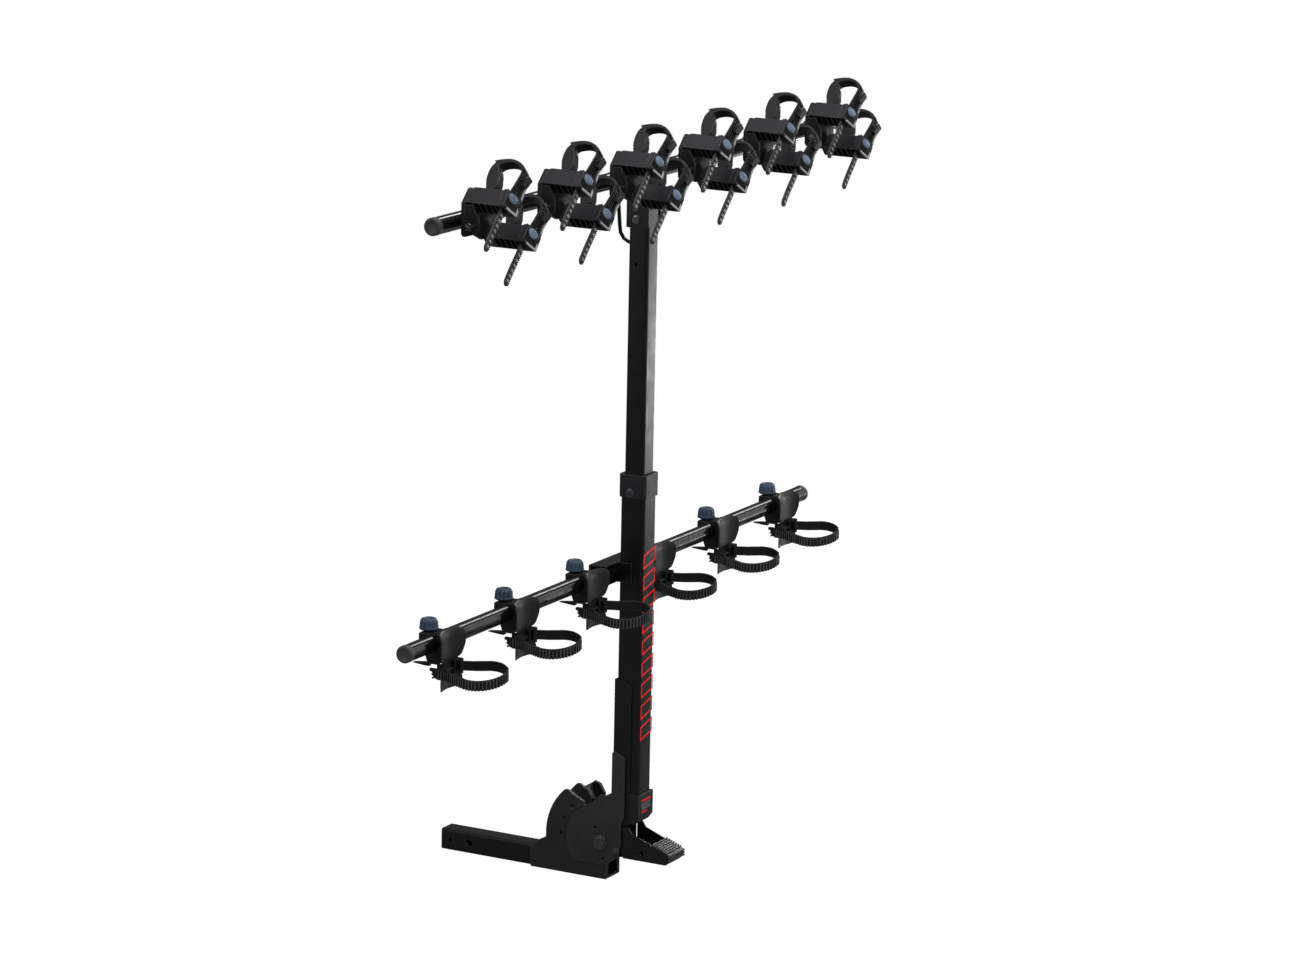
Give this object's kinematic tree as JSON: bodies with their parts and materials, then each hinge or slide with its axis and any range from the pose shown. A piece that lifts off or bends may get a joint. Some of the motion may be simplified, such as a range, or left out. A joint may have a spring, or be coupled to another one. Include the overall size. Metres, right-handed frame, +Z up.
{
  "type": "hitch bike rack",
  "caption": "Upright hitch-mounted bike rack: tilting two-stage mast, two cross bars, angled handlebar cradles with straps above, wheel trays below.",
  "frame": {"origin": "underside of the square hitch bar, straight below the tilt pivot, on the centre plane", "axes": "+X runs along the two cross bars, +Y along the hitch bar towards the vehicle, +Z up; metres"},
  "size_m": [1.8955, 0.66, 1.8018],
  "materials": {
    "black_metal": "satin black powder coat",
    "black_plastic": "fine moulded grain",
    "black_rubber": "matt moulded rubber",
    "blue_plastic": "semi-matt blue-grey",
    "dark_steel": "black oxide"
  },
  "bodies": {
    "base": {"hitch_bar": "black_metal", "base_plate_left": "black_metal", "base_plate_right": "black_metal", "pivot_bolt": "dark_steel"},
    "mast": {"tilt_plate_left": "black_metal", "tilt_plate_right": "black_metal", "stop_block": "black_metal", "mast_sleeve": "black_metal", "lower_mast": "black_metal", "foot_cover": "black_plastic", "mid_collar": "black_plastic", "mid_bolt": "dark_steel", "upper_mast": "black_metal", "top_yoke": "black_metal", "yoke_bolt": "dark_steel", "top_bar": "black_metal", "lower_bar": "black_metal", "lower_bar_bracket": "black_metal", "lock_loop": "black_metal", "pedal_pin": "dark_steel", "lock_housing": "black_metal", "cradle_1": "black_plastic", "cradle_2": "black_plastic", "cradle_3": "black_plastic", "cradle_4": "black_plastic", "cradle_5": "black_plastic", "cradle_6": "black_plastic"},
    "pedal": {"tilt_pedal": "black_metal", "pedal_tread": "black_rubber"},
    "lock": {"lock_pin": "dark_steel"},
    "tray_1": {"wheel_tray_1": "black_plastic"},
    "knob_1": {"tray_knob_1": "blue_plastic"},
    "wheel_strap_1": {"wheel_strap_1": "black_rubber"},
    "cradle_strap_1a": {"cradle_strap_1a": "black_rubber"},
    "cradle_strap_1b": {"cradle_strap_1b": "black_rubber"},
    "tray_2": {"wheel_tray_2": "black_plastic"},
    "knob_2": {"tray_knob_2": "blue_plastic"},
    "wheel_strap_2": {"wheel_strap_2": "black_rubber"},
    "cradle_strap_2a": {"cradle_strap_2a": "black_rubber"},
    "cradle_strap_2b": {"cradle_strap_2b": "black_rubber"},
    "tray_3": {"wheel_tray_3": "black_plastic"},
    "knob_3": {"tray_knob_3": "blue_plastic"},
    "wheel_strap_3": {"wheel_strap_3": "black_rubber"},
    "cradle_strap_3a": {"cradle_strap_3a": "black_rubber"},
    "cradle_strap_3b": {"cradle_strap_3b": "black_rubber"},
    "tray_4": {"wheel_tray_4": "black_plastic"},
    "knob_4": {"tray_knob_4": "blue_plastic"},
    "wheel_strap_4": {"wheel_strap_4": "black_rubber"},
    "cradle_strap_4a": {"cradle_strap_4a": "black_rubber"},
    "cradle_strap_4b": {"cradle_strap_4b": "black_rubber"},
    "tray_5": {"wheel_tray_5": "black_plastic"},
    "knob_5": {"tray_knob_5": "blue_plastic"},
    "wheel_strap_5": {"wheel_strap_5": "black_rubber"},
    "cradle_strap_5a": {"cradle_strap_5a": "black_rubber"},
    "cradle_strap_5b": {"cradle_strap_5b": "black_rubber"},
    "tray_6": {"wheel_tray_6": "black_plastic"},
    "knob_6": {"tray_knob_6": "blue_plastic"},
    "wheel_strap_6": {"wheel_strap_6": "black_rubber"},
    "cradle_strap_6a": {"cradle_strap_6a": "black_rubber"},
    "cradle_strap_6b": {"cradle_strap_6b": "black_rubber"}
  },
  "joints": [
    {"name": "mast_tilt", "type": "hinge", "parent": "base", "child": "mast", "pos_m": [0, 0, 0.091], "axis": [1, 0, 0], "range_deg": [0, 40], "stiffness_Nm_per_rad": 40, "springref_deg": -45.84},
    {"name": "pedal_press", "type": "hinge", "parent": "mast", "child": "pedal", "pos_m": [0, -0.042, 0.078], "axis": [1, 0, 0], "range_deg": [0, 18], "stiffness_Nm_per_rad": 6, "springref_deg": -28.65},
    {"name": "lock_pin_slide", "type": "slide", "parent": "mast", "child": "lock", "axis": [1, 0, 0], "range_m": [0, 0.012]},
    {"name": "tray_slide_1", "type": "slide", "parent": "mast", "child": "tray_1", "axis": [1, 0, 0], "range_m": [-0.02, 0.02]},
    {"name": "knob_turn_1", "type": "hinge", "parent": "tray_1", "child": "knob_1", "pos_m": [-0.80375, 0.0135, 0.78], "axis": [0, 0, 1], "range_deg": [-180, 180]},
    {"name": "wheel_strap_open_1", "type": "hinge", "parent": "tray_1", "child": "wheel_strap_1", "pos_m": [-0.77375, -0.0495, 0.6785], "axis": [0, 0, 1], "range_deg": [0, 35]},
    {"name": "cradle_strap_open_1a", "type": "hinge", "parent": "mast", "child": "cradle_strap_1a", "pos_m": [-0.84229, -0.134, 1.72875], "axis": [-0.7071, 0, 0.7071], "range_deg": [0, 45]},
    {"name": "cradle_strap_open_1b", "type": "hinge", "parent": "mast", "child": "cradle_strap_1b", "pos_m": [-0.75743, -0.134, 1.6439], "axis": [-0.7071, 0, 0.7071], "range_deg": [0, 25]},
    {"name": "tray_slide_2", "type": "slide", "parent": "mast", "child": "tray_2", "axis": [1, 0, 0], "range_m": [-0.02, 0.02]},
    {"name": "knob_turn_2", "type": "hinge", "parent": "tray_2", "child": "knob_2", "pos_m": [-0.48225, 0.0135, 0.78], "axis": [0, 0, 1], "range_deg": [-180, 180]},
    {"name": "wheel_strap_open_2", "type": "hinge", "parent": "tray_2", "child": "wheel_strap_2", "pos_m": [-0.45225, -0.0495, 0.6785], "axis": [0, 0, 1], "range_deg": [0, 35]},
    {"name": "cradle_strap_open_2a", "type": "hinge", "parent": "mast", "child": "cradle_strap_2a", "pos_m": [-0.52079, -0.134, 1.72875], "axis": [-0.7071, 0, 0.7071], "range_deg": [0, 45]},
    {"name": "cradle_strap_open_2b", "type": "hinge", "parent": "mast", "child": "cradle_strap_2b", "pos_m": [-0.43594, -0.134, 1.6439], "axis": [-0.7071, 0, 0.7071], "range_deg": [0, 25]},
    {"name": "tray_slide_3", "type": "slide", "parent": "mast", "child": "tray_3", "axis": [1, 0, 0], "range_m": [-0.02, 0.02]},
    {"name": "knob_turn_3", "type": "hinge", "parent": "tray_3", "child": "knob_3", "pos_m": [-0.16075, 0.0135, 0.78], "axis": [0, 0, 1], "range_deg": [-180, 180]},
    {"name": "wheel_strap_open_3", "type": "hinge", "parent": "tray_3", "child": "wheel_strap_3", "pos_m": [-0.13075, -0.0495, 0.6785], "axis": [0, 0, 1], "range_deg": [0, 35]},
    {"name": "cradle_strap_open_3a", "type": "hinge", "parent": "mast", "child": "cradle_strap_3a", "pos_m": [-0.19929, -0.134, 1.72875], "axis": [-0.7071, 0, 0.7071], "range_deg": [0, 45]},
    {"name": "cradle_strap_open_3b", "type": "hinge", "parent": "mast", "child": "cradle_strap_3b", "pos_m": [-0.11443, -0.134, 1.6439], "axis": [-0.7071, 0, 0.7071], "range_deg": [0, 25]},
    {"name": "tray_slide_4", "type": "slide", "parent": "mast", "child": "tray_4", "axis": [1, 0, 0], "range_m": [-0.02, 0.02]},
    {"name": "knob_turn_4", "type": "hinge", "parent": "tray_4", "child": "knob_4", "pos_m": [0.16075, 0.0135, 0.78], "axis": [0, 0, 1], "range_deg": [-180, 180]},
    {"name": "wheel_strap_open_4", "type": "hinge", "parent": "tray_4", "child": "wheel_strap_4", "pos_m": [0.19075, -0.0495, 0.6785], "axis": [0, 0, 1], "range_deg": [0, 35]},
    {"name": "cradle_strap_open_4a", "type": "hinge", "parent": "mast", "child": "cradle_strap_4a", "pos_m": [0.12221, -0.134, 1.72875], "axis": [-0.7071, 0, 0.7071], "range_deg": [0, 45]},
    {"name": "cradle_strap_open_4b", "type": "hinge", "parent": "mast", "child": "cradle_strap_4b", "pos_m": [0.20706, -0.134, 1.6439], "axis": [-0.7071, 0, 0.7071], "range_deg": [0, 25]},
    {"name": "tray_slide_5", "type": "slide", "parent": "mast", "child": "tray_5", "axis": [1, 0, 0], "range_m": [-0.02, 0.02]},
    {"name": "knob_turn_5", "type": "hinge", "parent": "tray_5", "child": "knob_5", "pos_m": [0.48225, 0.0135, 0.78], "axis": [0, 0, 1], "range_deg": [-180, 180]},
    {"name": "wheel_strap_open_5", "type": "hinge", "parent": "tray_5", "child": "wheel_strap_5", "pos_m": [0.51225, -0.0495, 0.6785], "axis": [0, 0, 1], "range_deg": [0, 35]},
    {"name": "cradle_strap_open_5a", "type": "hinge", "parent": "mast", "child": "cradle_strap_5a", "pos_m": [0.44371, -0.134, 1.72875], "axis": [-0.7071, 0, 0.7071], "range_deg": [0, 45]},
    {"name": "cradle_strap_open_5b", "type": "hinge", "parent": "mast", "child": "cradle_strap_5b", "pos_m": [0.52856, -0.134, 1.6439], "axis": [-0.7071, 0, 0.7071], "range_deg": [0, 25]},
    {"name": "tray_slide_6", "type": "slide", "parent": "mast", "child": "tray_6", "axis": [1, 0, 0], "range_m": [-0.02, 0.02]},
    {"name": "knob_turn_6", "type": "hinge", "parent": "tray_6", "child": "knob_6", "pos_m": [0.80375, 0.0135, 0.78], "axis": [0, 0, 1], "range_deg": [-180, 180]},
    {"name": "wheel_strap_open_6", "type": "hinge", "parent": "tray_6", "child": "wheel_strap_6", "pos_m": [0.83375, -0.0495, 0.6785], "axis": [0, 0, 1], "range_deg": [0, 35]},
    {"name": "cradle_strap_open_6a", "type": "hinge", "parent": "mast", "child": "cradle_strap_6a", "pos_m": [0.76521, -0.134, 1.72875], "axis": [-0.7071, 0, 0.7071], "range_deg": [0, 45]},
    {"name": "cradle_strap_open_6b", "type": "hinge", "parent": "mast", "child": "cradle_strap_6b", "pos_m": [0.85006, -0.134, 1.6439], "axis": [-0.7071, 0, 0.7071], "range_deg": [0, 25]}
  ],
  "couplings": [
    {"joint": "lock_pin_slide", "follows": "pedal_press", "m_per_rad": 0.038}
  ]
}
